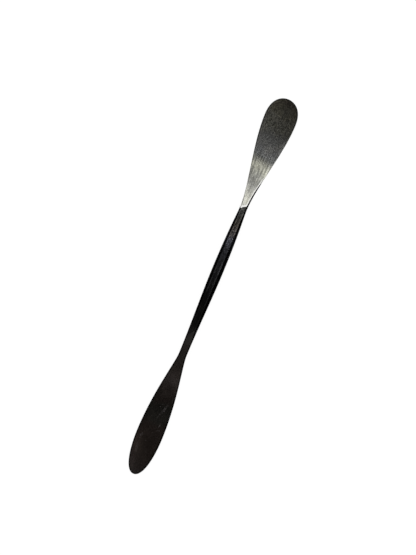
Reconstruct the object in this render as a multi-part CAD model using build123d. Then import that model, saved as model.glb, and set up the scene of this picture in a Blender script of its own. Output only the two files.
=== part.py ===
from build123d import *
import math
import os

# Double-ended laboratory spatula, ground from one steel bar. Its faceted handle swells to a belly,
# and both ends are ground down to thin blades: one like a slender leaf, the other like a pear.
#
# Lengths are in millimetres. +X runs along the spatula towards the pear-shaped blade, +Z is up,
# and the origin is under the middle of the spatula, on the surface that it lies on.

# Lengths along the bar
leaf_length = 57.4  # from the tip of the leaf to the neck behind it
handle_length = 70.0  # from neck to neck
pear_length = 52.6  # from the neck behind the pear to the tip of the pear
leaf_widest = 18.7  # from the tip of the leaf to its widest place
pear_widest = 9.8  # from the tip of the pear to its widest place
belly_ahead = 40.3  # from the leaf's neck to the widest place of the handle

# Widths, at the places where both sides run along X
leaf_width = 11.9
leaf_neck_width = 3.65
belly_width = 5.25
pear_neck_width = 3.45
pear_width = 14.6

# Fullness of the side curves: how far each keeps its direction, as a share of its run, from the
# leaf's end of it and from the pear's end of it. A tip's first share is the one at the tip itself.
leaf_tip_fullness = (0.73, 0.46)
leaf_flank_fullness = (0.475, 0.125)
rear_handle_fullness = (0.35, 0.33)
front_handle_fullness = (0.61, 0.12)
pear_flank_fullness = (0.27, 0.34)
pear_tip_fullness = (0.40, 0.79)

# Thicknesses
ridge_thickness = 3.4  # where the handle ends and the ground ramps begin
crown_rise = 0.6  # of the belly's top above the ridges
root_thickness = 1.2  # of a blade, at the foot of its ramp
tip_thickness = 0.8  # of a blade, at its tip

# Ramps that the wheel ground between the handle and the blades, measured along the bar
leaf_ridge_inset = 10.3  # from the leaf's neck back to the top of the ramp, on the handle
pear_ridge_outset = 1.2  # from the pear's neck on to the top of the ramp, on the blade
leaf_ramp_length = 21.3
pear_ramp_length = 21.5
leaf_ramp_skew = 35.0  # degrees that the wheel's axis stands off square to the bar
pear_ramp_skew = 17.0

# Facets of the handle
centre_facet_width = 2.6
centre_facet_shift = 0.15  # off the middle of the bar, towards +Y
facet_angle = 40.0  # degrees that a corner facet slopes away from the centre facet
runout_radius = 80.0  # of the curve by which a corner facet leaves the bar past a ridge
runout_sweep = 35.0  # degrees of that curve, enough to lead clear of the blades

# Rounding of the upper and lower edges all round the blades
rim_radius = 0.3

# Room that a cutting shape has past the bar, and stretch of handle that is ground with each end
clear = 5.0
overlap = 3.0

# Places and lengths that follow from the sizes above
overall_length = leaf_length + handle_length + pear_length
leaf_tip_x = -overall_length / 2
pear_tip_x = overall_length / 2
leaf_neck_x = leaf_tip_x + leaf_length
pear_neck_x = pear_tip_x - pear_length
leaf_ridge_x = leaf_neck_x + leaf_ridge_inset
pear_ridge_x = pear_neck_x + pear_ridge_outset
crown_x = (leaf_ridge_x + pear_ridge_x) / 2
crown_reach = (pear_ridge_x - leaf_ridge_x) / 2
belly_thickness = ridge_thickness + crown_rise
mid_height = ridge_thickness / 2
cutter_reach = 2 * (leaf_width + pear_width)


def flank_curve(start, end, fullness):
    """One side of the bar between two places where it runs along X."""
    run = end[0] - start[0]
    leave = (start[0] + fullness[0] * run, start[1])
    arrive = (end[0] - fullness[1] * run, end[1])
    return Bezier(start, leave, arrive, end)


def tip_curve(tip, widest, fullness):
    """One side of a round tip, from the end of the bar to the widest place of the blade."""
    leave = (tip[0], fullness[0] * widest[1])
    arrive = (widest[0] + fullness[1] * (tip[0] - widest[0]), widest[1])
    return Bezier(tip, leave, arrive, widest)


def plan_outline():
    """The bar as seen from above."""
    leaf_tip = (leaf_tip_x, 0)
    leaf = (leaf_tip_x + leaf_widest, leaf_width / 2)
    leaf_neck = (leaf_neck_x, leaf_neck_width / 2)
    belly = (leaf_neck_x + belly_ahead, belly_width / 2)
    pear_neck = (pear_neck_x, pear_neck_width / 2)
    pear = (pear_tip_x - pear_widest, pear_width / 2)
    pear_tip = (pear_tip_x, 0)
    side = [
        tip_curve(leaf_tip, leaf, leaf_tip_fullness),
        flank_curve(leaf, leaf_neck, leaf_flank_fullness),
        flank_curve(leaf_neck, belly, rear_handle_fullness),
        flank_curve(belly, pear_neck, front_handle_fullness),
        flank_curve(pear_neck, pear, pear_flank_fullness),
        tip_curve(pear_tip, pear, pear_tip_fullness),
    ]
    other_side = [mirror(curve, about=Plane.XZ) for curve in side]
    return make_face(side + other_side)


def crown_arc(rise, base, overrun=0):
    """Arc over the handle that meets the height base at both ridges and rises above it between them."""
    radius = (crown_reach**2 + rise**2) / (2 * rise)
    end = crown_reach + overrun
    end_height = base + rise - radius + math.sqrt(radius**2 - end**2)
    return ThreePointArc(
        (crown_x - end, end_height),
        (crown_x, base + rise),
        (crown_x + end, end_height),
    )


def side_view():
    """Band that the finished bar fits in: flat below, and crowned above from ridge to ridge."""
    crown = crown_arc(crown_rise, ridge_thickness, overrun=clear)
    ends_and_base = Polyline(
        crown @ 1,
        (pear_tip_x + clear, belly_thickness),
        (pear_tip_x + clear, 0),
        (leaf_tip_x - clear, 0),
        (leaf_tip_x - clear, belly_thickness),
        crown @ 0,
    )
    band = Plane.XZ * make_face([crown, ends_and_base])
    return extrude(band, amount=cutter_reach, both=True)


def ramp_cutter(ridge_x, ramp_length, end_length, skew):
    """What the wheel takes off the top of an end that runs from the ridge towards +X.

    Its profile is the blade's face, then a hollow ramp that leaves it smoothly and passes the ridge.
    """
    square = math.cos(math.radians(skew))
    foot_x = square * ramp_length
    tip_x = square * end_length
    end_x = tip_x + clear
    taper = (root_thickness - tip_thickness) / 2 / (tip_x - foot_x)
    blade_end = (end_x, root_thickness / 2 - taper * (end_x - foot_x))
    blade_face = Line(blade_end, (foot_x, root_thickness / 2))
    chord = Vector(-foot_x, (ridge_thickness - root_thickness) / 2)
    wheel_radius = chord.length**2 / (2 * abs(chord.cross(blade_face % 1).Z))
    sweep = 2 * math.asin(chord.length / (2 * wheel_radius)) + clear / wheel_radius
    ramp = JernArc(blade_face @ 1, blade_face % 1, wheel_radius, -math.degrees(sweep))
    ceiling = belly_thickness + clear
    outside = Polyline(ramp @ 1, ((ramp @ 1).X, ceiling), (end_x, ceiling), blade_end)
    profile = Plane.XZ * make_face([blade_face, ramp, outside])
    cutter = extrude(profile, amount=cutter_reach, both=True)
    return Pos(ridge_x, 0, mid_height) * Rot(0, 0, skew) * cutter


def ground_end(stock, cutter):
    """One end of the stock, thinned alike from above and from below, with its rims rounded."""
    end = stock - cutter - mirror(cutter, about=Plane.XY.offset(mid_height))
    sides = end.faces().filter_by(lambda face: abs(face.normal_at().Y) > 0.2)
    rims = sides.edges().filter_by(lambda edge: abs((edge % 0.5).Z) < 0.5)
    return fillet(rims, radius=rim_radius)


def ground_bar():
    """The bar with both ends ground, flat below and crowned above."""
    stock = Pos(0, 0, -clear) * extrude(plan_outline(), amount=belly_thickness + 2 * clear)
    pear_start = Plane.YZ.offset(pear_ridge_x - overlap)
    leaf_start = Plane.YZ.offset(leaf_ridge_x + overlap)
    pear_stock = split(stock, bisect_by=pear_start, keep=Keep.TOP)
    leaf_stock = split(stock, bisect_by=leaf_start, keep=Keep.BOTTOM)
    handle = split(stock, bisect_by=pear_start, keep=Keep.BOTTOM)
    handle = split(handle, bisect_by=leaf_start, keep=Keep.TOP)
    pear_end = pear_tip_x - pear_ridge_x
    leaf_end = leaf_ridge_x - leaf_tip_x
    over_pear = ramp_cutter(pear_ridge_x, pear_ramp_length, pear_end, pear_ramp_skew)
    over_leaf = ramp_cutter(-leaf_ridge_x, leaf_ramp_length, leaf_end, -leaf_ramp_skew)
    pear = ground_end(pear_stock, over_pear)
    leaf = ground_end(leaf_stock, mirror(over_leaf, about=Plane.YZ))
    return (leaf + handle + pear) & side_view()


def facet_cutter(rise):
    """What the wheel takes off the upper corner at +Y, beside a centre facet that is crowned by rise.

    The wheel follows the centre facet from ridge to ridge and lifts out of the bar past both.
    """
    slope = math.radians(facet_angle)
    side_share = math.sin(slope)
    top_share = math.cos(slope)
    base = side_share * centre_facet_width / 2 + top_share * ridge_thickness
    if rise:
        facet = crown_arc(top_share * rise, base)
    else:
        facet = Line((crown_x - crown_reach, base), (crown_x + crown_reach, base))
    lift_ahead = JernArc(facet @ 1, facet % 1, runout_radius, runout_sweep)
    lift_behind = JernArc(facet @ 0, facet % 0 * -1, runout_radius, -runout_sweep)
    front = lift_ahead @ 1
    rear = lift_behind @ 1
    ceiling = front.Y + clear
    outside = Polyline(front, (front.X, ceiling), (rear.X, ceiling), rear)
    across = Plane(origin=(0, 0, 0), x_dir=(1, 0, 0), z_dir=(0, -top_share, side_share))
    profile = across * make_face([facet, lift_ahead, lift_behind, outside])
    return extrude(profile, amount=cutter_reach, both=True)


def grind_facets(bar):
    """Grind the four corners of the handle: the upper ones follow its crown, the lower are straight."""
    upper = facet_cutter(crown_rise)
    lower = mirror(facet_cutter(0), about=Plane.XY.offset(mid_height))
    for cutter in (upper, lower):
        bar -= Pos(0, centre_facet_shift, 0) * cutter
        bar -= Pos(0, centre_facet_shift, 0) * mirror(cutter, about=Plane.XZ)
    return bar


spatula = grind_facets(ground_bar())
spatula.label = "spatula"

os.makedirs("parts", exist_ok=True)
export_step(spatula, "parts/spatula.step")
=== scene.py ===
import math

import bmesh
import bpy
import numpy as np
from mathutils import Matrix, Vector


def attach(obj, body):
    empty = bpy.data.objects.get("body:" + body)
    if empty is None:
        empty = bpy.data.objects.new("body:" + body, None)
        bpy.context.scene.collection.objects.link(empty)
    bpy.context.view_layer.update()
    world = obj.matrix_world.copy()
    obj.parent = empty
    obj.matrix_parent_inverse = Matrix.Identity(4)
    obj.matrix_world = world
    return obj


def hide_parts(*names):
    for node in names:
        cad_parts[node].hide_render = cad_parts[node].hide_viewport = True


# Double-ended steel spatula that lies on a white table, seen from straight above.
# Sizes of the spatula are in millimetres, as in the part's source, until the mesh is scaled.
# Sizes of the table, the lamps and the camera are in metres.
# The pear blade is at +X and the leaf blade at -X. Left is +Y and right is -Y.
MM = 0.001

# Plan outline: ends, necks, belly and the widest place of each blade, as (x, half width)
LEAF_TIP = (-90.0, 0.0)
LEAF_WIDEST = (-71.3, 5.95)
LEAF_NECK = (-32.6, 1.825)
BELLY = (7.7, 2.625)
PEAR_NECK = (37.4, 1.725)
PEAR_WIDEST = (80.2, 7.3)
PEAR_TIP = (90.0, 0.0)

# How far each side curve keeps its direction, as shares of its run
LEAF_TIP_FULLNESS = (0.73, 0.46)
LEAF_FLANK_FULLNESS = (0.475, 0.125)
REAR_HANDLE_FULLNESS = (0.35, 0.33)
FRONT_HANDLE_FULLNESS = (0.61, 0.12)
PEAR_FLANK_FULLNESS = (0.27, 0.34)
PEAR_TIP_FULLNESS = (0.40, 0.79)

# Heights and thicknesses
MID_HEIGHT = 1.7
RIDGE_THICKNESS = 3.4
CROWN_RISE = 0.6
ROOT_HALF = 0.6
TIP_HALF = 0.4
RIM_RADIUS = 0.3

# Ridges and ramps
LEAF_RIDGE_X = -22.3
PEAR_RIDGE_X = 38.6
CROWN_X = (LEAF_RIDGE_X + PEAR_RIDGE_X) / 2
CROWN_REACH = (PEAR_RIDGE_X - LEAF_RIDGE_X) / 2
RIDGE_SOFTNESS = 0.03
BEND_LENGTH = 3.0

# How far the ramps and the crown go on past their ridges, before they are cut by one another
BEFORE_RIDGE = 140.0
CROWN_OVERRUN = 5.0
CROWN_OVERRUN_SLOPE = 0.05

# Corner facets of the handle
FACET_HALF = 1.3
FACET_SHIFT = 0.15
FACET_SLOPE = math.radians(40)
SIDE_SHARE = math.sin(FACET_SLOPE)
TOP_SHARE = math.cos(FACET_SLOPE)
RUNOUT_RADIUS = 80.0
ARRIS_SOFTNESS = 0.08
LEAST_FACET = 0.01

# Rings of the mesh along the bar
STATION_STEP = 0.4
TIP_STEP = 0.15
TIP_STRETCH = 3.0
RIDGE_STEPS = (-0.45, -0.3, -0.2, -0.12, -0.05, 0.0, 0.05, 0.12, 0.2, 0.3, 0.45)
RIDGE_MARGIN = 0.1
ALIGNED_REACH = 1.0

# Columns of the mesh round the bar: a corner goes from inside the face to below the wall's top
CORNER_MARGIN = 0.15
ARRIS_STEP = 0.09
FACET_SHARES = (0.3, 0.5, 0.7)
CORNER_COLUMNS = 11
FACET_COLUMNS = range(2, 8)
FACE_COLUMNS = 9
HALF_FACE_COLUMNS = FACE_COLUMNS // 2 + 1

# Width of the first and the second step across a face, each with its largest share of half of it
FIRST_STEP = (0.2, 0.15)
SECOND_STEP = (0.5, 0.4)
LEAST_FACE_WIDTH = 1e-9

# Rounds that find a facet's inner edge, with the least share of the side's normal across the bar
EDGE_ROUNDS = 3
LEAST_LEAN = 0.3

# The search for the skin along a ray out of the bar, as a share of the ray and a count of halvings
SEARCH_REACH = 1.6
SEARCH_HALVINGS = 40

# Points of the finished mesh that lie closer than this, in metres, become one
MERGE_DISTANCE = 1e-6

# Grain coordinates are in centimetres, and fan out with the bar's half width down to a least one
MM_PER_CM = 10
LEAST_FAN_WIDTH = 0.5

TOP, UNDER = 1, -1
LEFT, RIGHT = 1, -1
CROWN_END_SLOPE = 2 * CROWN_RISE * CROWN_REACH / (CROWN_REACH**2 + CROWN_RISE**2)

# The finishes, as places in the mesh's list of materials
LEAF, HANDLE, PEAR = 0, 1, 2


class Ramp:
    """The hollow that the wheel ground between a ridge and a blade, and the blade's own face.

    The slope changes evenly along the hollow, more quickly over a short bend at its foot, and
    then slowly along the blade.
    """

    def __init__(self, length, reach, skew, foot_skew, foot_slope, face_slope):
        self.length = length
        self.skew = skew
        self.foot_skew = foot_skew
        self.square = math.cos(math.radians(skew))
        foot = length * self.square
        tip = reach * self.square
        bend_start, bend_end = foot - BEND_LENGTH, foot + BEND_LENGTH / 2
        bend_drop = (foot_slope + face_slope) / 2 * (bend_end - bend_start)
        face_start = ROOT_HALF - face_slope * BEND_LENGTH / 2
        hollow_drop = RIDGE_THICKNESS / 2 - face_start - bend_drop
        self.ridge_slope = 2 * hollow_drop / bend_start - foot_slope
        tip_slope = 2 * (face_start - TIP_HALF) / (tip - bend_end) - face_slope
        before = self.ridge_slope + (self.ridge_slope - foot_slope) / bend_start * BEFORE_RIDGE
        self.knots = np.array([-BEFORE_RIDGE, 0, bend_start, bend_end, tip])
        self.slopes = np.array([before, self.ridge_slope, foot_slope, face_slope, tip_slope])
        drops = np.diff(self.knots) * (self.slopes[1:] + self.slopes[:-1]) / 2
        heights = -np.concatenate([[0], np.cumsum(drops)])
        self.heights = heights - heights[1] + RIDGE_THICKNESS / 2

    def half_thickness(self, past_ridge, across):
        """Half the thickness at a distance past the ridge and across the bar."""
        share = np.clip(past_ridge / self.length, 0, 1)
        turn = np.radians(self.skew + (self.foot_skew - self.skew) * share)
        run = (past_ridge + across * np.tan(turn)) * self.square
        run = np.clip(run, -BEFORE_RIDGE, None)
        piece = np.clip(np.searchsorted(self.knots, run) - 1, 0, len(self.knots) - 2)
        start = self.knots[piece]
        change = (self.slopes[piece + 1] - self.slopes[piece]) / (self.knots[piece + 1] - start)
        on = run - start
        return self.heights[piece] - self.slopes[piece] * on - change * on**2 / 2

    def ridge_shift(self, crown_slope):
        """How far the ridge line moves along the bar for each millimetre across it."""
        turn = math.radians(self.skew)
        return (
            self.ridge_slope
            * math.sin(turn)
            / (self.ridge_slope * math.cos(turn) - crown_slope)
        )


PEAR_RAMP = Ramp(21.5, 51.4, skew=17.0, foot_skew=-10.0, foot_slope=0.034, face_slope=0.010)
LEAF_RAMP = Ramp(21.3, 67.7, skew=35.0, foot_skew=25.0, foot_slope=0.02, face_slope=0.006)


def bezier(points, count=400):
    """Points and directions along a cubic curve."""
    p = np.array(points, float)
    t = np.linspace(0, 1, count)[:, None]
    s = 1 - t
    place = s**3 * p[0] + 3 * s**2 * t * p[1] + 3 * s * t**2 * p[2] + t**3 * p[3]
    way = s**2 * (p[1] - p[0]) + 2 * s * t * (p[2] - p[1]) + t**2 * (p[3] - p[2])
    return place, way


def flank(start, end, fullness):
    """One side of the bar between two places where it runs along X."""
    run = end[0] - start[0]
    leave = (start[0] + fullness[0] * run, start[1])
    arrive = (end[0] - fullness[1] * run, end[1])
    return [start, leave, arrive, end]


def round_tip(tip, widest, fullness):
    """One side of a round tip, from the end of the bar to the widest place of the blade."""
    leave = (tip[0], fullness[0] * widest[1])
    arrive = (widest[0] + fullness[1] * (tip[0] - widest[0]), widest[1])
    return [tip, leave, arrive, widest]


class Outline:
    """One side of the bar in plan, as functions of the distance along it from the leaf's tip."""

    def __init__(self):
        curves = [
            round_tip(LEAF_TIP, LEAF_WIDEST, LEAF_TIP_FULLNESS),
            flank(LEAF_WIDEST, LEAF_NECK, LEAF_FLANK_FULLNESS),
            flank(LEAF_NECK, BELLY, REAR_HANDLE_FULLNESS),
            flank(BELLY, PEAR_NECK, FRONT_HANDLE_FULLNESS),
            flank(PEAR_NECK, PEAR_WIDEST, PEAR_FLANK_FULLNESS),
            round_tip(PEAR_TIP, PEAR_WIDEST, PEAR_TIP_FULLNESS)[::-1],
        ]
        pieces = [bezier(curve) for curve in curves]
        place = np.concatenate([piece[0][:-1] for piece in pieces] + [pieces[-1][0][-1:]])
        way = np.concatenate([piece[1][:-1] for piece in pieces] + [pieces[-1][1][-1:]])
        way /= np.linalg.norm(way, axis=1)[:, None]
        steps = np.linalg.norm(np.diff(place, axis=0), axis=1)
        self.run = np.concatenate([[0], np.cumsum(steps)])
        self.place = place
        self.normal = np.stack([-way[:, 1], way[:, 0]], axis=1)
        self.length = self.run[-1]

    def at(self, run):
        """x, y and the outward normal's x and y at distances along the side."""
        columns = (self.place[:, 0], self.place[:, 1], self.normal[:, 0], self.normal[:, 1])
        return [np.interp(run, self.run, column) for column in columns]

    def run_at(self, x):
        return float(np.interp(x, self.place[:, 0], self.run))

    def half_width(self, x):
        return np.interp(x, self.place[:, 0], self.place[:, 1])


OUTLINE = Outline()


def soft_min(a, b, softness):
    """The smaller of two values, with a smooth passage where they are nearly the same."""
    near = np.clip(softness - np.abs(a - b), 0, None) / softness
    return np.minimum(a, b) - near**2 * softness / 4


def soft_max(a, b, softness):
    return -soft_min(-a, -b, softness)


def crown_height(x):
    """Height of the crowned upper facet over the flat underside."""
    radius = (CROWN_REACH**2 + CROWN_RISE**2) / (2 * CROWN_RISE)
    away = np.abs(x - CROWN_X)
    inside = np.minimum(away, CROWN_REACH + CROWN_OVERRUN)
    arc = RIDGE_THICKNESS + CROWN_RISE - radius + np.sqrt(radius**2 - inside**2)
    return arc + CROWN_OVERRUN_SLOPE * (away - inside)


def face_height(x, y, level):
    """Distance of the upper or the under surface from the bar's middle height."""
    pear = PEAR_RAMP.half_thickness(x - PEAR_RIDGE_X, y)
    leaf = LEAF_RAMP.half_thickness(LEAF_RIDGE_X - x, -y)
    if level == TOP:
        handle = crown_height(x) - MID_HEIGHT
    else:
        handle = np.full_like(x, MID_HEIGHT)
    return soft_min(soft_min(handle, pear, RIDGE_SOFTNESS), leaf, RIDGE_SOFTNESS)


def facet_level(x, side, level):
    """How far out the plane of a corner facet lies, with its run-out past both ridges."""
    base = SIDE_SHARE * (FACET_HALF + side * FACET_SHIFT) + TOP_SHARE * RIDGE_THICKNESS
    away = np.abs(x - CROWN_X)
    inside = np.minimum(away, CROWN_REACH)
    outside = away - inside
    between = base
    lean = 0.0
    if level == TOP:
        rise = TOP_SHARE * CROWN_RISE
        radius = (CROWN_REACH**2 + rise**2) / (2 * rise)
        between = base + rise - radius + np.sqrt(radius**2 - inside**2)
        lean = math.atan(CROWN_REACH / math.sqrt(radius**2 - CROWN_REACH**2))
    from_centre = outside - RUNOUT_RADIUS * math.sin(lean)
    runout = RUNOUT_RADIUS * math.cos(lean) - np.sqrt(RUNOUT_RADIUS**2 - from_centre**2)
    return np.where(outside > 0, between + runout, between)


def past_rim(inset, depth):
    """How far a point lies outside the rounded rim, from its distances in from wall and face."""
    a = RIM_RADIUS - inset
    b = RIM_RADIUS - depth
    corner_distance = np.hypot(np.maximum(a, 0), np.maximum(b, 0))
    return corner_distance + np.minimum(np.maximum(a, b), 0) - RIM_RADIUS


def corner(run, side, level):
    """The corner of the bar's section at distances along one side.

    It goes from the upper or under face, over the facet or the rounded rim, to the side wall.
    The result has one row for each distance, and columns for x, y, z and inset. The inset is the
    distance in from the facet's or the rim's inner edge, so it is negative on the corner itself.
    """
    px, py, nx, ny = OUTLINE.at(run)

    def height(inset):
        return face_height(px - inset * nx, side * (py - inset * ny), level)

    facet = facet_level(px, side, level)
    start = np.full_like(px, RIM_RADIUS)
    for _ in range(EDGE_ROUNDS):
        reach = (facet - TOP_SHARE * (MID_HEIGHT + height(start))) / SIDE_SHARE
        start = np.maximum(RIM_RADIUS, (py - reach) / np.maximum(ny, LEAST_LEAN))
    top = height(start)
    wall = np.minimum(top - RIM_RADIUS, (facet - SIDE_SHARE * py) / TOP_SHARE - MID_HEIGHT)
    inner = start + CORNER_MARGIN
    lower = wall - np.minimum(CORNER_MARGIN, 0.5 * wall)
    drop = top - wall
    step = ARRIS_STEP / np.hypot(start, drop)
    targets = [(inner, top), (start + ARRIS_STEP, top)]
    for share in (0, step, *FACET_SHARES, 1 - step, 1):
        targets.append((start * (1 - share), top - drop * share))
    targets += [(0 * wall, wall - 0.5 * (wall - lower)), (0 * wall, lower)]
    columns = []
    for across, up in targets:
        out, rise = across - inner, up - lower
        low, high = np.zeros_like(px), np.full_like(px, SEARCH_REACH)
        for _ in range(SEARCH_HALVINGS):
            middle = (low + high) / 2
            inset = inner + middle * out
            v = lower + middle * rise
            level_here = facet_level(px - inset * nx, side, level)
            ground = SIDE_SHARE * (py - inset * ny) + TOP_SHARE * (MID_HEIGHT + v) - level_here
            rounded = past_rim(inset, height(inset) - v)
            outside = soft_max(rounded, ground, ARRIS_SOFTNESS) > 0
            high = np.where(outside, middle, high)
            low = np.where(outside, low, middle)
        inset = inner + low * out
        v = lower + low * rise
        x, y = px - inset * nx, side * (py - inset * ny)
        columns.append(np.stack([x, y, MID_HEIGHT + level * v, inset - start], axis=1))
    return np.stack(columns, axis=1), start > RIM_RADIUS + LEAST_FACET


def face_columns(start, end, level):
    """Columns of the upper or under face from one corner to the other, without their own."""
    half = np.linalg.norm(start[:, :2] - end[:, :2], axis=1) / 2
    near, edge = (np.minimum(width, share * half) for width, share in (FIRST_STEP, SECOND_STEP))
    steps = [near, edge, edge + (half - edge) / 3, edge + (half - edge) * 2 / 3, half]
    shares = [step / np.maximum(2 * half, LEAST_FACE_WIDTH) for step in steps]
    shares += [1 - share for share in shares[-2::-1]]
    columns = []
    for share in shares:
        x = start[:, 0] + share * (end[:, 0] - start[:, 0])
        y = start[:, 1] + share * (end[:, 1] - start[:, 1])
        z = MID_HEIGHT + level * face_height(x, y, level)
        inset = start[:, 3] + np.minimum(share, 1 - share) * 2 * half
        columns.append(np.stack([x, y, z, inset], axis=1))
    return np.stack(columns, axis=1)


def stations():
    """Distances along the side, close together at the tips and over the ridges."""
    length = OUTLINE.length
    ends = np.arange(0, TIP_STRETCH, TIP_STEP)
    body = np.arange(TIP_STRETCH, length - TIP_STRETCH, STATION_STEP)
    runs = np.concatenate([ends, body, length - ends[::-1]])
    for x in (LEAF_RIDGE_X, PEAR_RIDGE_X):
        ridge = OUTLINE.run_at(x)
        keep = np.abs(runs - ridge) > max(RIDGE_STEPS) + RIDGE_MARGIN
        runs = np.concatenate([runs[keep], ridge + np.array(RIDGE_STEPS)])
    return np.sort(runs)


def skewed(runs, side, level):
    """Where a ring meets one side: along the skewed ridge lines, and square on the blades."""
    slope = CROWN_END_SLOPE if level == TOP else 0.0
    pear = FACET_HALF * PEAR_RAMP.ridge_shift(slope)
    leaf = FACET_HALF * LEAF_RAMP.ridge_shift(slope)
    places = [
        LEAF_RIDGE_X - LEAF_RAMP.length,
        LEAF_RIDGE_X - ALIGNED_REACH,
        LEAF_RIDGE_X + ALIGNED_REACH,
        PEAR_RIDGE_X - ALIGNED_REACH,
        PEAR_RIDGE_X + ALIGNED_REACH,
        PEAR_RIDGE_X + PEAR_RAMP.length,
    ]
    place_runs = [OUTLINE.run_at(x) for x in places]
    return runs - side * np.interp(runs, place_runs, [0, leaf, leaf, pear, pear, 0])


def bar_surface():
    """Rings of the whole bar, from the middle of the underside round it and back."""
    runs = stations()
    corners = {}
    facets = {}
    for side in (LEFT, RIGHT):
        for level in (TOP, UNDER):
            key = (side, level)
            corners[key], facets[key] = corner(skewed(runs, side, level), side, level)

    def wall(side):
        """The middle of a side wall."""
        x, y, _, _ = OUTLINE.at((skewed(runs, side, TOP) + skewed(runs, side, UNDER)) / 2)
        inset = (corners[side, TOP][:, -1, 3] + corners[side, UNDER][:, -1, 3]) / 2
        return np.stack([x, side * y, np.full_like(x, MID_HEIGHT), inset], axis=1)[:, None]

    under = face_columns(corners[RIGHT, UNDER][:, 0], corners[LEFT, UNDER][:, 0], UNDER)
    upper = face_columns(corners[LEFT, TOP][:, 0], corners[RIGHT, TOP][:, 0], TOP)
    rings = np.concatenate(
        [
            under[:, -HALF_FACE_COLUMNS:],
            corners[LEFT, UNDER],
            wall(LEFT),
            corners[LEFT, TOP][:, ::-1],
            upper,
            corners[RIGHT, TOP],
            wall(RIGHT),
            corners[RIGHT, UNDER][:, ::-1],
            under[:, :HALF_FACE_COLUMNS],
        ],
        axis=1,
    )
    return runs, rings, facets


def corner_starts():
    """The first column of each corner in a ring."""
    left_under = HALF_FACE_COLUMNS
    left_top = left_under + CORNER_COLUMNS + 1
    right_top = left_top + CORNER_COLUMNS + FACE_COLUMNS
    right_under = right_top + CORNER_COLUMNS + 1
    return {
        (LEFT, UNDER): left_under,
        (LEFT, TOP): left_top,
        (RIGHT, TOP): right_top,
        (RIGHT, UNDER): right_under,
    }


def grain_coordinates(x, y):
    """Along and across the bar in centimetres, fanning out less than its sides do."""
    width = OUTLINE.half_width(np.clip(x, LEAF_WIDEST[0], PEAR_WIDEST[0]))
    fan = y * np.sqrt(PEAR_WIDEST[1] / np.maximum(width, LEAST_FAN_WIDTH))
    return x / MM_PER_CM, fan / MM_PER_CM


def spatula_mesh(materials):
    """The whole spatula as one skin: a grid wrapped round the bar and closed at both tips.

    The handle's finish goes on over the corner facets that run out past the ridges, apart from
    the left ones on the pear's ramp.
    """
    runs, rings, facets = bar_surface()
    count, columns = rings.shape[:2]
    bm = bmesh.new()
    bmesh.ops.create_grid(bm, x_segments=columns - 1, y_segments=count - 1, size=1)
    bm.verts.ensure_lookup_table()
    inset_layer = bm.verts.layers.float.new("inset")
    uv_layer = bm.loops.layers.uv.new("grain")
    flat = rings.reshape(-1, 4)
    for vert, (x, y, z, inset) in zip(bm.verts, flat):
        vert.co = (x * MM, y * MM, z * MM)
        vert[inset_layer] = inset
    along, across = grain_coordinates(flat[:, 0], flat[:, 1])
    pear_ridge = OUTLINE.run_at(PEAR_RIDGE_X)
    leaf_ridge = OUTLINE.run_at(LEAF_RIDGE_X)
    starts = corner_starts()
    for face in bm.faces:
        face.smooth = True
        places = [loop.vert.index for loop in face.loops]
        for loop, place in zip(face.loops, places):
            loop[uv_layer].uv = (along[place], across[place])
        ring = min(place // columns for place in places)
        column = min(place % columns for place in places)
        middle = (runs[ring] + runs[ring + 1]) / 2
        finish = LEAF if middle < leaf_ridge else PEAR if middle > pear_ridge else HANDLE
        for (side, level), start in starts.items():
            on_facet = column - start in FACET_COLUMNS and facets[side, level][ring]
            if on_facet and (finish == LEAF or side == RIGHT):
                finish = HANDLE
        face.material_index = finish
    bmesh.ops.remove_doubles(bm, verts=bm.verts, dist=MERGE_DISTANCE)
    bmesh.ops.recalc_face_normals(bm, faces=bm.faces)
    mesh = bpy.data.meshes.new("spatula_skin")
    bm.to_mesh(mesh)
    bm.free()
    for material in materials:
        mesh.materials.append(material)
    piece = bpy.data.objects.new("spatula_skin", mesh)
    bpy.context.scene.collection.objects.link(piece)
    return piece


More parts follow.
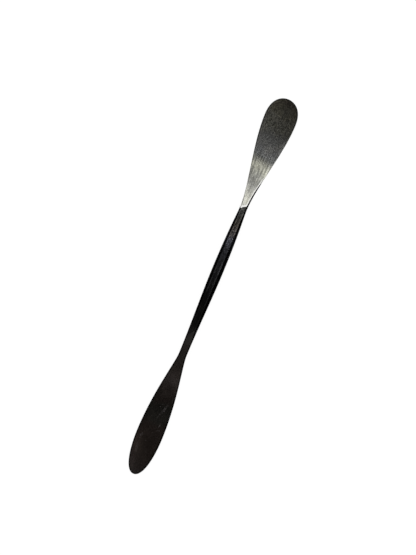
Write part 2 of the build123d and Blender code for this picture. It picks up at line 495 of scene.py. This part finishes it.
class Nodes:
    """Short calls for building a node tree."""

    def __init__(self, tree):
        self.tree = tree

    def add(self, kind, **settings):
        node = self.tree.nodes.new(kind)
        for name, value in settings.items():
            setattr(node, name, value)
        return node

    def link(self, source, target):
        self.tree.links.new(source, target)

    def put(self, target, value):
        """Link a socket, or set a plain value."""
        if isinstance(value, bpy.types.NodeSocket):
            self.link(value, target)
        else:
            target.default_value = value

    def maths(self, operation, a, b=None, clamp=False):
        node = self.add("ShaderNodeMath", operation=operation, use_clamp=clamp)
        self.put(node.inputs[0], a)
        if b is not None:
            self.put(node.inputs[1], b)
        return node.outputs[0]

    def times(self, first, *others):
        for other in others:
            first = self.maths("MULTIPLY", first, other)
        return first

    def plus(self, first, *others):
        for other in others:
            first = self.maths("ADD", first, other)
        return first

    def minus(self, a, b):
        return self.maths("SUBTRACT", a, b)

    def spread(self, value, low, high, to_low=0.0, to_high=1.0, smooth=True):
        """A value between two limits, spread over another range."""
        node = self.add("ShaderNodeMapRange", clamp=True)
        node.interpolation_type = "SMOOTHSTEP" if smooth else "LINEAR"
        self.put(node.inputs["Value"], value)
        limits = {"From Min": low, "From Max": high, "To Min": to_low, "To Max": to_high}
        for name, number in limits.items():
            self.put(node.inputs[name], number)
        return node.outputs["Result"]

    def mix(self, share, a, b, blend="MIX"):
        node = self.add("ShaderNodeMix", data_type="RGBA", blend_type=blend, clamp_result=True)
        self.put(node.inputs["Factor"], share)
        self.put(node.inputs["A"], a)
        self.put(node.inputs["B"], b)
        return node.outputs["Result"]

    def noise(self, vector, scale, detail=2.0, roughness=0.5):
        node = self.add("ShaderNodeTexNoise")
        self.link(vector, node.inputs["Vector"])
        self.put(node.inputs["Scale"], scale)
        self.put(node.inputs["Detail"], detail)
        self.put(node.inputs["Roughness"], roughness)
        return node.outputs["Fac"]

    def stretched(self, vector, scale=(1.0, 1.0, 1.0), move=(0.0, 0.0, 0.0)):
        node = self.add("ShaderNodeMapping")
        self.link(vector, node.inputs["Vector"])
        node.inputs["Scale"].default_value = scale
        node.inputs["Location"].default_value = move
        return node.outputs["Vector"]

    def split(self, vector):
        node = self.add("ShaderNodeSeparateXYZ")
        self.link(vector, node.inputs[0])
        return node.outputs


# Layers of the brush grain, as waves to the centimetre across, share and shift
GRAIN_LAYERS = ((6.0, 0.1, 0.0), (15.0, 0.45, 3.1), (28.0, 0.45, 7.7))

# Cells of the speckle, which are longer along the bar, and of the spots
SPECKLE_SIZE = 0.4
SPECKLE_STRETCH = (0.6, 1, 1)
SPOT_SIZE = 0.45
SPOT_SHIFT = (0.3, 0.1, 0)

# Scratches and specks: x, y, turn in degrees, length, width and strength
LEAF_MARKS = (
    (-65.9, -2.6, -8.0, 3.6, 0.35, 0.5),
    (-68.2, -2.8, -75.0, 2.6, 0.35, 0.45),
    (-58.2, -1.9, -15.5, 7.5, 1.3, 0.3),
    (-61.8, -0.6, -15.5, 5.0, 0.5, 0.22),
    (-56.5, -0.3, 0.0, 0.6, 0.6, 0.6),
    (-57.8, 0.3, 0.0, 0.6, 0.6, 0.6),
    (-57.9, -1.8, 20.0, 0.8, 0.7, 0.7),
    (-59.1, -2.1, 40.0, 0.9, 0.6, 0.7),
    (-53.2, -3.6, 8.0, 3.4, 0.4, 0.45),
    (-72.6, 3.5, -40.0, 2.8, 1.3, 0.4),
    (-71.6, 3.3, 0.0, 0.7, 0.6, 0.6),
    (-74.0, 3.4, 60.0, 1.2, 0.4, 0.5),
    (-78.5, 3.2, 12.0, 6.0, 1.6, 0.22),
    (-74.2, 0.5, 0.0, 0.6, 0.6, 0.6),
    (-77.1, 0.0, 0.0, 0.5, 0.5, 0.5),
    (-78.7, -1.1, 0.0, 0.6, 0.5, 0.6),
    (-84.4, -1.6, 0.0, 0.5, 0.5, 0.5),
)


def shader_group(name, inputs, outputs):
    """An empty node group with named sockets, and its own node helper."""
    tree = bpy.data.node_groups.new(name, "ShaderNodeTree")
    kinds = {"value": "NodeSocketFloat", "vector": "NodeSocketVector"}
    for label, kind in inputs.items():
        tree.interface.new_socket(label, in_out="INPUT", socket_type=kinds[kind])
    for label in outputs:
        tree.interface.new_socket(label, in_out="OUTPUT", socket_type=kinds["value"])
    nodes = Nodes(tree)
    return nodes, nodes.add("NodeGroupInput").outputs, nodes.add("NodeGroupOutput").inputs


def brush_grain_group():
    """Fine lines that the belt left along the bar, at a length in centimetres."""
    nodes, given, out = shader_group(
        "brush_grain", {"Place": "vector", "Length": "value"}, ("Grain",)
    )
    parts = nodes.split(given["Place"])
    place = nodes.add("ShaderNodeCombineXYZ")
    nodes.put(place.inputs["X"], nodes.maths("DIVIDE", parts["X"], given["Length"]))
    nodes.link(parts["Y"], place.inputs["Y"])
    layers = []
    for scale, share, shift in GRAIN_LAYERS:
        moved = nodes.stretched(place.outputs[0], move=(shift, shift, 0))
        wave = nodes.spread(nodes.noise(moved, scale, detail=1.5), 0.3, 0.7)
        layers.append(nodes.times(wave, share))
    nodes.link(nodes.plus(*layers), out["Grain"])
    return nodes.tree


def smudge_group():
    """Cloudy patches left by handling, at a size in millimetres, with finer speckle and spots."""
    nodes, given, out = shader_group(
        "smudges", {"Place": "vector", "Size": "value"}, ("Clouds", "Speckle", "Spots")
    )
    place = given["Place"]
    scale = nodes.maths("DIVIDE", 1 / MM, given["Size"])
    clouds = nodes.noise(place, scale, detail=3.0, roughness=0.55)
    nodes.link(nodes.spread(clouds, 0.35, 0.7), out["Clouds"])
    long_place = nodes.stretched(place, SPECKLE_STRETCH)
    speckle = nodes.noise(long_place, 1 / (SPECKLE_SIZE * MM), detail=2.0, roughness=0.6)
    nodes.link(nodes.spread(speckle, 0.35, 0.68), out["Speckle"])
    moved = nodes.stretched(place, move=SPOT_SHIFT)
    dots = nodes.spread(nodes.noise(moved, 1 / (SPOT_SIZE * MM), detail=1.0), 0.7, 0.76)
    nodes.link(nodes.times(dots, nodes.spread(clouds, 0.45, 0.6)), out["Spots"])
    return nodes.tree


def mark_group():
    """The scratches and specks of the leaf, each a soft spot at its own place."""
    nodes, given, out = shader_group("marks", {"Place": "vector"}, ("Marks",))
    total = None
    for x, y, turn, length, width, strength in LEAF_MARKS:
        spot = nodes.add("ShaderNodeMapping", vector_type="TEXTURE")
        nodes.link(given["Place"], spot.inputs["Vector"])
        spot.inputs["Location"].default_value = (x * MM, y * MM, 0)
        spot.inputs["Rotation"].default_value = (0, 0, math.radians(turn))
        spot.inputs["Scale"].default_value = (length / 2 * MM, width / 2 * MM, 1)
        away = nodes.add("ShaderNodeVectorMath", operation="LENGTH")
        nodes.link(spot.outputs["Vector"], away.inputs[0])
        mask = nodes.spread(away.outputs["Value"], 0.2, 1.0, strength, 0.0)
        total = mask if total is None else nodes.maths("MAXIMUM", total, mask)
    nodes.link(total, out["Marks"])
    return nodes.tree


# Colours along the bar, as (x, linear colour): the steel's own tone with painted reflection in it.
# On the pear the painted reflection is a bright ramp that darkens towards the tip
PEAR_TONE_AND_REFLECTION = (
    (38.0, (0.64, 0.64, 0.59)),
    (41.0, (0.61, 0.61, 0.55)),
    (46.0, (0.54, 0.54, 0.5)),
    (49.5, (0.37, 0.37, 0.345)),
    (51.0, (0.3, 0.3, 0.278)),
    (53.5, (0.375, 0.375, 0.338)),
    (57.0, (0.465, 0.465, 0.397)),
    (60.0, (0.52, 0.52, 0.46)),
    (62.5, (0.56, 0.575, 0.58)),
    (66.5, (0.43, 0.43, 0.425)),
    (69.5, (0.37, 0.37, 0.36)),
    (72.0, (0.27, 0.27, 0.26)),
    (74.6, (0.2, 0.2, 0.187)),
    (77.3, (0.195, 0.195, 0.17)),
    (80.0, (0.205, 0.2, 0.172)),
    (83.0, (0.155, 0.15, 0.125)),
    (90.0, (0.08, 0.07, 0.06)),
)
# The handle's own near-black tone with painted reflection: lighter by the leaf's ramp and in a
# bluish band before the pear's neck
HANDLE_TONE_AND_REFLECTION = (
    (-24.0, (0.12, 0.115, 0.11)),
    (-20.6, (0.115, 0.11, 0.105)),
    (-18.4, (0.065, 0.063, 0.06)),
    (-13.0, (0.048, 0.046, 0.045)),
    (-6.0, (0.05, 0.05, 0.05)),
    (0.0, (0.066, 0.066, 0.068)),
    (4.4, (0.068, 0.068, 0.072)),
    (8.0, (0.09, 0.09, 0.096)),
    (15.0, (0.09, 0.092, 0.105)),
    (18.6, (0.118, 0.12, 0.137)),
    (22.2, (0.36, 0.365, 0.44)),
    (24.5, (0.19, 0.175, 0.172)),
    (29.3, (0.105, 0.095, 0.08)),
    (33.0, (0.041, 0.039, 0.036)),
    (36.4, (0.068, 0.068, 0.064)),
    (40.0, (0.075, 0.075, 0.07)),
)
# The leaf's own brown-black tone with painted reflection: lighter on its ramp by the handle and at
# its tip
LEAF_TONE_AND_REFLECTION = (
    (-90.0, (0.145, 0.12, 0.11)),
    (-84.0, (0.1, 0.08, 0.072)),
    (-78.0, (0.085, 0.067, 0.056)),
    (-70.0, (0.075, 0.058, 0.05)),
    (-66.0, (0.07, 0.055, 0.047)),
    (-63.5, (0.062, 0.058, 0.05)),
    (-59.0, (0.062, 0.058, 0.05)),
    (-56.0, (0.07, 0.055, 0.048)),
    (-50.0, (0.08, 0.065, 0.057)),
    (-45.2, (0.165, 0.138, 0.127)),
    (-40.0, (0.125, 0.102, 0.09)),
    (-30.0, (0.18, 0.155, 0.142)),
    (-22.0, (0.22, 0.21, 0.195)),
)
# Tones of the side walls, which carry on the faces' painted reflection: lighter by the pear's ramp
# than towards the ends
WALL_TONE_AND_REFLECTION = (
    (-90.0, (0.03, 0.027, 0.025)),
    (-20.0, (0.05, 0.048, 0.046)),
    (22.0, (0.06, 0.06, 0.062)),
    (36.0, (0.12, 0.12, 0.115)),
    (46.0, (0.24, 0.24, 0.225)),
    (56.0, (0.22, 0.22, 0.205)),
    (66.0, (0.09, 0.09, 0.085)),
    (90.0, (0.04, 0.038, 0.035)),
)
WALL_ROUGHNESS = 0.3

# Single colours
PAINTED_RIDGE_HIGHLIGHT = (1.0, 1.0, 0.97, 1)
PAINTED_EDGE_HIGHLIGHT = (1.0, 1.0, 0.96, 1)
WARM_TINT = (1.05, 1.03, 0.93, 1)
PAINTED_RIM_HIGHLIGHT = (0.95, 0.94, 0.9, 1)
PAINTED_RIM_SHADE = (0.03, 0.03, 0.028, 1)
PAINTED_RUNOUT_HIGHLIGHT = (0.9, 0.88, 0.85, 1)
PALE_SPOT = (0.3, 0.28, 0.26, 1)
PALE_MARK = (0.5, 0.45, 0.45, 1)

# Upward shares of the normal between which the finish passes from side wall to face
WALL_NORMALS = (0.25, 0.5)

# How far the speckle frays the line of the pear's ridge
RIDGE_FRAY = 0.4

# How far from the middle line the painted light and shade across the bar is at its full strength
SIDE_LIGHT_REACH = 7.0

# How much sooner the rim of the pear turns from a painted highlight to painted shade on the left
LEFT_RIM_LEAD = 13.0


class Finish:
    """A steel finish in the making: its material, its places and the shared groups.

    Places and sizes are given to its methods in millimetres.
    """

    def __init__(self, name, groups):
        self.material = bpy.data.materials.new(name)
        self.material.use_nodes = True
        self.material.node_tree.nodes.clear()
        self.groups = groups
        self.nodes = n = Nodes(self.material.node_tree)
        self.shader = n.add("ShaderNodeBsdfPrincipled")
        output = n.add("ShaderNodeOutputMaterial")
        n.link(self.shader.outputs["BSDF"], output.inputs["Surface"])
        self.shader.inputs["Metallic"].default_value = 1.0
        self.place = n.add("ShaderNodeTexCoord").outputs["Object"]
        parts = n.split(self.place)
        self.x, self.y = parts["X"], parts["Y"]
        self.inset = n.add("ShaderNodeAttribute", attribute_name="inset").outputs["Fac"]
        normal = n.split(n.add("ShaderNodeNewGeometry").outputs["Normal"])
        self.wall = n.spread(n.maths("ABSOLUTE", normal["Z"]), *WALL_NORMALS, 1.0, 0.0)

    def group(self, name, **values):
        node = self.nodes.add("ShaderNodeGroup")
        node.node_tree = self.groups[name]
        for label, value in values.items():
            self.nodes.put(node.inputs[label], value)
        return node.outputs

    def grain(self, length):
        place = self.nodes.add("ShaderNodeUVMap", uv_map="grain").outputs["UV"]
        return self.group("brush_grain", Place=place, Length=length)["Grain"]

    def lengthwise(self, start, end, before=0.0, after=1.0):
        """A value that changes along the bar between two places."""
        return self.nodes.spread(self.x, start * MM, end * MM, before, after)

    def between(self, low, low_end, high_start, high):
        """Mask over a stretch of the bar, with soft ends."""
        return self.nodes.times(
            self.lengthwise(low, low_end), self.lengthwise(high_start, high, 1.0, 0.0)
        )

    def crosswise(self, start, end, before=0.0, after=1.0):
        """A value that changes across the bar, from right to left."""
        return self.nodes.spread(self.y, start * MM, end * MM, before, after)

    def inward(self, start, end, before=0.0, after=1.0):
        """A value that changes from the bar's edge inwards."""
        return self.nodes.spread(self.inset, start, end, before, after)

    def along(self, slant, fray, reach):
        """Distance along the bar that slants across it, frayed by a wave over a reach."""
        n = self.nodes
        place = n.plus(self.x, n.times(self.y, slant))
        return n.plus(place, n.times(n.minus(fray, 0.5), reach * MM))

    def by_pear_ridge(self, speckle, start, end, before=0.0, after=1.0):
        """A value that changes from one side of the pear's frayed ridge line to the other."""
        slant = PEAR_RAMP.ridge_shift(CROWN_END_SLOPE)
        place = self.along(slant, speckle, RIDGE_FRAY)
        start, end = (PEAR_RIDGE_X + start) * MM, (PEAR_RIDGE_X + end) * MM
        return self.nodes.spread(place, start, end, before, after)

    def tones(self, stops, place):
        """Colour along the bar, from stops of (x, colour)."""
        first, last = stops[0][0], stops[-1][0]
        share = self.nodes.spread(place, first * MM, last * MM, smooth=False)
        ramp = self.nodes.add("ShaderNodeValToRGB")
        self.nodes.link(share, ramp.inputs["Fac"])
        elements = ramp.color_ramp.elements
        elements.remove(elements[1])
        for index, (x, colour) in enumerate(stops):
            position = (x - first) / (last - first)
            stop = elements[0] if index == 0 else elements.new(position)
            stop.position = position
            stop.color = (*colour, 1)
        return ramp.outputs["Color"]

    def shade(self, colour, factor):
        """The colour times a factor that changes over the surface."""
        grey = self.nodes.add("ShaderNodeCombineColor")
        for channel in ("Red", "Green", "Blue"):
            self.nodes.put(grey.inputs[channel], factor)
        return self.nodes.mix(1.0, colour, grey.outputs[0], blend="MULTIPLY")

    def brighten(self, colour, gain):
        """The colour, made lighter by a share of itself."""
        return self.shade(colour, self.nodes.plus(gain, 1.0))

    def waver(self, colour, wave, depth):
        """The colour, made lighter and darker by a wave between 0 and 1."""
        return self.brighten(colour, self.nodes.times(self.nodes.minus(wave, 0.5), depth))

    def lean(self, colour, amount):
        """Painted light and shade across the bar: the colour, made lighter on the left and darker
        on the right by an amount.
        """
        reach = SIDE_LIGHT_REACH * MM
        side = self.nodes.spread(self.y, -reach, reach, -1.0, 1.0, smooth=False)
        return self.brighten(colour, self.nodes.times(side, amount))

    def finish(self, colour, roughness, grain, depth):
        """The material, with the ground side walls in tones that carry on the faces' painted
        reflection, and the grain as bumps.
        """
        n = self.nodes
        colour = n.mix(self.wall, colour, self.tones(WALL_TONE_AND_REFLECTION, self.x))
        n.put(self.shader.inputs["Base Color"], colour)
        roughness = n.spread(self.wall, 0.0, 1.0, roughness, WALL_ROUGHNESS, smooth=False)
        n.put(self.shader.inputs["Roughness"], roughness)
        bump = n.add("ShaderNodeBump")
        bump.inputs["Distance"].default_value = depth * MM
        bump.inputs["Strength"].default_value = 1.0
        n.link(grain, bump.inputs["Height"])
        n.link(bump.outputs[0], self.shader.inputs["Normal"])
        return self.material


def pear_finish(groups):
    """Brushed steel with painted reflection, a bright ramp that darkens along the blade, and
    painted light, highlights and shade along its edges and across it.
    """
    f = Finish("brushed_pear_steel", groups)
    n = f.nodes
    grain = f.grain(length=12.0)
    smudges = f.group("smudges", Place=f.place, Size=5.0)
    speckle, clouds = smudges["Speckle"], smudges["Clouds"]
    left = f.crosswise(-0.3, 0.3)
    right = f.crosswise(-0.3, 0.3, 1.0, 0.0)

    # Grain on the ramp, and speckle that is calmer on the left of the blade's root
    # The tones paint the ramp's reflection, light by the ridge and darker towards the tip
    colour = f.tones(PEAR_TONE_AND_REFLECTION, f.along(slant=-0.2, fray=grain, reach=4.0))
    colour = f.waver(colour, grain, f.lengthwise(58.0, 68.0, 1.35, 0.5))
    depth = n.times(f.lengthwise(54.0, 64.0, 0.5, 0.75), f.lengthwise(66.0, 80.0, 1.0, 1.5))
    calm = n.times(f.between(58.0, 66.0, 67.0, 77.0), f.crosswise(-4.0, 5.0, 0.12, 0.45))
    colour = f.waver(colour, speckle, n.times(depth, n.minus(1.0, calm)))
    colour = f.waver(colour, clouds, f.lengthwise(56.0, 66.0, 0.08, 0.2))
    # Painted light and shade across the blade: lighter on the right near the root, lighter on the
    # left towards the tip
    colour = f.lean(colour, f.lengthwise(64.0, 80.0, -0.12, 0.2))
    warmth = n.times(clouds, f.lengthwise(66.0, 76.0, 0.4, 1.0))
    colour = n.mix(warmth, colour, WARM_TINT, blend="MULTIPLY")

    # Painted light along the right edge, at the ramp's foot and on the blade's root
    foot_painted_light = n.times(f.inward(0.2, 1.8, 0.3, 0.0), right, f.between(49.0, 53.0, 60.0, 64.0))
    root_painted_light = n.times(f.inward(0.0, 1.4, 0.6, 0.0), right, f.between(65.0, 67.5, 73.0, 77.0))
    colour = f.brighten(colour, n.plus(foot_painted_light, root_painted_light))

    # A painted highlight along the ramp's right edge, then rims with a painted highlight, and
    # painted shade farther on
    line = n.times(f.inward(0.4, 0.6, 1.0, 0.0), f.between(37.0, 39.0, 50.0, 55.0), right)
    colour = n.mix(line, colour, PAINTED_EDGE_HIGHLIGHT)
    rim_place = n.plus(f.x, n.times(left, LEFT_RIM_LEAD * MM))
    # Painted shade on the rim towards the tip
    dark = n.times(f.inward(0.0, 0.3, 1.0, 0.0), n.spread(rim_place, 72 * MM, 84 * MM))
    colour = n.mix(dark, colour, PAINTED_RIM_SHADE)
    # A painted highlight on the rim by the blade's root; the same mask also makes the rim rougher
    # as wear
    rim_highlight_stretch = n.spread(rim_place, 60 * MM, 65 * MM, 1.0, 0.0)
    rim_highlight_and_wear = n.times(f.inward(-0.08, 0.08, 1.0, 0.0), rim_highlight_stretch)
    colour = n.mix(rim_highlight_and_wear, colour, PAINTED_RIM_HIGHLIGHT)
    # A painted highlight along the pear's ridge
    colour = n.mix(f.by_pear_ridge(speckle, 0.45, 0.65, 1.0, 0.0), colour, PAINTED_RIDGE_HIGHLIGHT)

    roughness = n.spread(f.x, 45 * MM, 60 * MM, 0.18, 0.11, smooth=False)
    edge_wear = n.times(rim_highlight_and_wear, f.inward(-0.15, 0.0, 1.0, 0.0), 0.35)
    return f.finish(colour, n.plus(roughness, edge_wear), grain, depth=0.0015)


def handle_finish(groups):
    """Dark polished facets with painted reflection in their tones, painted highlights along their
    arrises and painted shade at their edges.
    """
    f = Finish("dark_handle_steel", groups)
    n = f.nodes
    grain = f.grain(length=7.0)
    smudges = f.group("smudges", Place=f.place, Size=4.0)
    speckle, clouds = smudges["Speckle"], smudges["Clouds"]

    # Near-black tone with painted reflection along the bar
    colour = f.tones(HANDLE_TONE_AND_REFLECTION, f.along(slant=0.0, fray=grain, reach=2.0))
    colour = f.waver(colour, grain, 0.8)
    depth = n.times(f.lengthwise(10.0, 24.0, 0.3, 1.7), f.inward(-0.1, 0.1, 0.3, 1.0))
    colour = f.waver(colour, speckle, depth)
    colour = f.waver(colour, clouds, 0.25)

    # Broken painted highlights inside the arrises, full at the belly and faint towards both ends
    patches = n.noise(n.stretched(f.place, (1.0, 6.0, 1.0)), 1 / (7 * MM), detail=1.0)
    line = n.times(f.inward(0.12, 0.35), f.inward(0.6, 0.9, 1.0, 0.0))
    reach = n.plus(
        f.between(-8.0, -2.0, 9.0, 17.0),
        n.times(f.between(9.0, 17.0, 33.0, 37.0), 0.1),
        n.times(f.between(-22.0, -19.0, -8.0, -2.0), 0.4),
    )
    gain = n.plus(n.spread(patches, 0.35, 0.65, 0.2, 2.2), f.crosswise(-1.0, 1.0, 1.2, 0.1))
    colour = f.brighten(colour, n.times(line, reach, gain))

    # Two painted highlights along the neck, and painted shade in bands outside them
    off = n.maths("ABSOLUTE", n.minus(f.y, 0.07 * MM))
    inner, outer = n.spread(off, 0.4 * MM, 0.8 * MM), n.spread(off, 0.85 * MM, 1.1 * MM, 1.0, 0.0)
    lines = n.times(inner, outer, f.between(25.0, 29.0, 36.0, 38.0), 1.15)
    colour = f.brighten(colour, lines)
    left_shade_band = n.times(f.lengthwise(16.0, 32.0), f.crosswise(0.0, 0.5, 0.0, 0.36))
    right_shade_band = n.times(f.between(16.0, 21.0, 31.0, 35.0), f.crosswise(-0.5, 0.0, 0.18, 0.0))
    in_from_shade_bands = n.minus(f.inset, n.plus(left_shade_band, right_shade_band))
    # Painted shade on the corner facets, reaching farther in along the neck
    colour = f.shade(colour, n.spread(in_from_shade_bands, -0.02, 0.17, 0.15, 1.0))

    # Painted highlights at the end of the facet that runs out on the pear's ramp, and along the
    # ridge
    colour = n.mix(f.lengthwise(49.3, 52.0), colour, PAINTED_RUNOUT_HIGHLIGHT)
    ridge = n.times(f.by_pear_ridge(speckle, -0.55, -0.4), f.inward(0.0, 0.1))
    colour = n.mix(ridge, colour, PAINTED_RIDGE_HIGHLIGHT)
    roughness = n.spread(clouds, 0.0, 1.0, 0.135, 0.155)
    return f.finish(colour, roughness, grain, depth=0.0005)


def leaf_finish(groups):
    """Smooth brown-black blade with faint smudges, scratches and specks, painted reflection in its
    tones, painted light and shade across it and painted shade at its rims.
    """
    f = Finish("dark_leaf_steel", groups)
    n = f.nodes
    grain = f.grain(length=8.0)
    smudges = f.group("smudges", Place=f.place, Size=7.0)
    speckle, clouds = smudges["Speckle"], smudges["Clouds"]
    marks = f.group("marks", Place=f.place)["Marks"]

    # Brown-black tone with painted reflection along the blade
    colour = f.tones(LEAF_TONE_AND_REFLECTION, f.along(slant=0.0, fray=clouds, reach=3.0))
    colour = f.waver(colour, clouds, 0.12)
    colour = f.waver(colour, grain, 0.25)
    colour = f.waver(colour, speckle, 0.3)
    # Painted light and shade across the blade: much lighter on the left by the tip, a little
    # lighter on the right farther in
    colour = f.lean(colour, f.lengthwise(-80.0, -66.0, 0.45, -0.1))

    # Painted light on the left of the tip, spots, scratches and specks, and painted shade at the
    # rims
    left_tip_painted_light = n.times(f.between(-92.0, -86.0, -74.0, -62.0), f.crosswise(0.0, 3.0), 0.4)
    colour = f.brighten(colour, left_tip_painted_light)
    colour = n.mix(n.times(smudges["Spots"], 0.5), colour, PALE_SPOT)
    broken = n.times(marks, n.spread(speckle, 0.0, 0.7, 0.4, 1.2))
    colour = n.mix(broken, colour, PALE_MARK)
    # Painted shade at the rims
    colour = f.shade(colour, f.inward(0.05, 0.5, 0.12, 1.0))
    roughness = n.spread(clouds, 0.0, 1.0, 0.205, 0.23)
    return f.finish(colour, roughness, grain, depth=0.0006)


def finishes():
    """The bar's three finishes, in the order of LEAF, HANDLE and PEAR."""
    groups = {
        "brush_grain": brush_grain_group(),
        "smudges": smudge_group(),
        "marks": mark_group(),
    }
    return [leaf_finish(groups), handle_finish(groups), pear_finish(groups)]


TABLE_SIZE = 6
TABLE_GREY = 0.25
TABLE_GLOW = 0.91

# Brightness of the world by the height of the direction: (upward share, value)
WORLD_STOPS = ((0.06, 1.0), (0.12, 0.02), (0.25, 0.03), (0.5, 0.25), (0.85, 0.25), (0.95, 0.05))

SOFT_BOX_AZIMUTHS = (45, 135, 225, 315)
SOFT_BOX_ELEVATION = 36
SOFT_BOX_DISTANCE = 2.4
SOFT_BOX_SIZE = (1.9, 1.5)
SOFT_BOX_RADIANCE = 1.0

# The panel's near edge is what the pear's ramp mirrors to the camera at EDGE_X, where its face
# tilts by half of EDGE_ANGLE
PANEL_SIZE = (1.7, 1.6)
PANEL_HEIGHT = 3.8
PANEL_Y = 0.1
PANEL_RADIANCE = 0.95
EDGE_X = 0.06
EDGE_ANGLE = math.radians(3.6)

CAMERA_HEIGHT = 3.0
CAMERA_CENTRE = (0.00321, 0.00275)
CAMERA_TURN = math.radians(-67.46)
CAMERA_CLIP_END = 9
FRAME_HEIGHT = 0.24667
SENSOR_WIDTH = 36


def table():
    """White table top. What the camera and the metal see of it is white, and it takes shadows."""
    bpy.ops.mesh.primitive_plane_add(size=TABLE_SIZE)
    floor = bpy.context.object
    floor.name = "table_top"
    material = bpy.data.materials.new("white_table")
    material.use_nodes = True
    tree = material.node_tree
    tree.nodes.clear()
    nodes = Nodes(tree)
    diffuse = nodes.add("ShaderNodeBsdfDiffuse")
    diffuse.inputs["Color"].default_value = (TABLE_GREY, TABLE_GREY, TABLE_GREY, 1)
    glow = nodes.add("ShaderNodeEmission")
    path = nodes.add("ShaderNodeLightPath").outputs
    seen = nodes.plus(path["Is Camera Ray"], path["Is Glossy Ray"])
    seen = nodes.maths("ADD", seen, path["Is Transmission Ray"], clamp=True)
    nodes.put(glow.inputs["Strength"], nodes.times(seen, TABLE_GLOW))
    total = nodes.add("ShaderNodeAddShader")
    output = nodes.add("ShaderNodeOutputMaterial")
    nodes.link(diffuse.outputs[0], total.inputs[0])
    nodes.link(glow.outputs[0], total.inputs[1])
    nodes.link(total.outputs[0], output.inputs["Surface"])
    floor.data.materials.append(material)


def room():
    """World: white at the horizon and below it, and dim overhead."""
    world = bpy.data.worlds.new("studio")
    bpy.context.scene.world = world
    world.use_nodes = True
    tree = world.node_tree
    tree.nodes.clear()
    nodes = Nodes(tree)
    upward = nodes.split(nodes.add("ShaderNodeTexCoord").outputs["Generated"])["Z"]
    ramp = nodes.add("ShaderNodeValToRGB")
    nodes.link(upward, ramp.inputs["Fac"])
    stops = ramp.color_ramp.elements
    for index, (position, value) in enumerate(WORLD_STOPS):
        stop = stops[index] if index < 2 else stops.new(position)
        stop.position = position
        stop.color = (value, value, value, 1)
    back = nodes.add("ShaderNodeBackground")
    nodes.link(ramp.outputs["Color"], back.inputs["Color"])
    output = nodes.add("ShaderNodeOutputWorld")
    nodes.link(back.outputs[0], output.inputs["Surface"])


def lamp(name, size, radiance, location):
    """A rectangular lamp that shines straight down until it is turned."""
    width, height = size
    data = bpy.data.lights.new(name, "AREA")
    data.shape = "RECTANGLE"
    data.size, data.size_y = width, height
    data.energy = radiance * math.pi * width * height
    obj = bpy.data.objects.new(name, data)
    obj.location = location
    bpy.context.scene.collection.objects.link(obj)
    return obj


def lamps():
    """Four soft boxes round the spatula that face it, and a panel overhead."""
    e = math.radians(SOFT_BOX_ELEVATION)
    for azimuth in SOFT_BOX_AZIMUTHS:
        a = math.radians(azimuth)
        away = Vector((math.cos(a) * math.cos(e), math.sin(a) * math.cos(e), math.sin(e)))
        place = away * SOFT_BOX_DISTANCE
        box = lamp(f"soft_box_{azimuth}", SOFT_BOX_SIZE, SOFT_BOX_RADIANCE, place)
        box.rotation_euler = away.to_track_quat("Z", "Y").to_euler()
    panel_x = EDGE_X + PANEL_HEIGHT * math.tan(EDGE_ANGLE) + PANEL_SIZE[0] / 2
    lamp("ceiling_panel", PANEL_SIZE, PANEL_RADIANCE, (panel_x, PANEL_Y, PANEL_HEIGHT))


def camera():
    """Long lens, straight above, turned so that the pear blade points up and to the right."""
    data = bpy.data.cameras.new("camera")
    data.sensor_width = SENSOR_WIDTH
    data.lens = SENSOR_WIDTH * CAMERA_HEIGHT / FRAME_HEIGHT
    data.clip_end = CAMERA_CLIP_END
    obj = bpy.data.objects.new("camera", data)
    obj.location = (*CAMERA_CENTRE, CAMERA_HEIGHT)
    obj.rotation_euler = (0, 0, CAMERA_TURN)
    bpy.context.scene.collection.objects.link(obj)
    bpy.context.scene.camera = obj


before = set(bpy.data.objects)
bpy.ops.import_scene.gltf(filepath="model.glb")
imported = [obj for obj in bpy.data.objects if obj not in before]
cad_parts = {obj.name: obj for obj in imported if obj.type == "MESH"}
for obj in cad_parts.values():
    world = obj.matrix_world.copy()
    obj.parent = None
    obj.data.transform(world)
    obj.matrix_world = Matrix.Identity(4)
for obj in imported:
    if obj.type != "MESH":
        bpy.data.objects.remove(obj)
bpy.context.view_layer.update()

bpy.context.scene.view_settings.view_transform = "Standard"
camera()
room()
lamps()
table()
skin = spatula_mesh(finishes())
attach(skin, "root")
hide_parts("spatula")
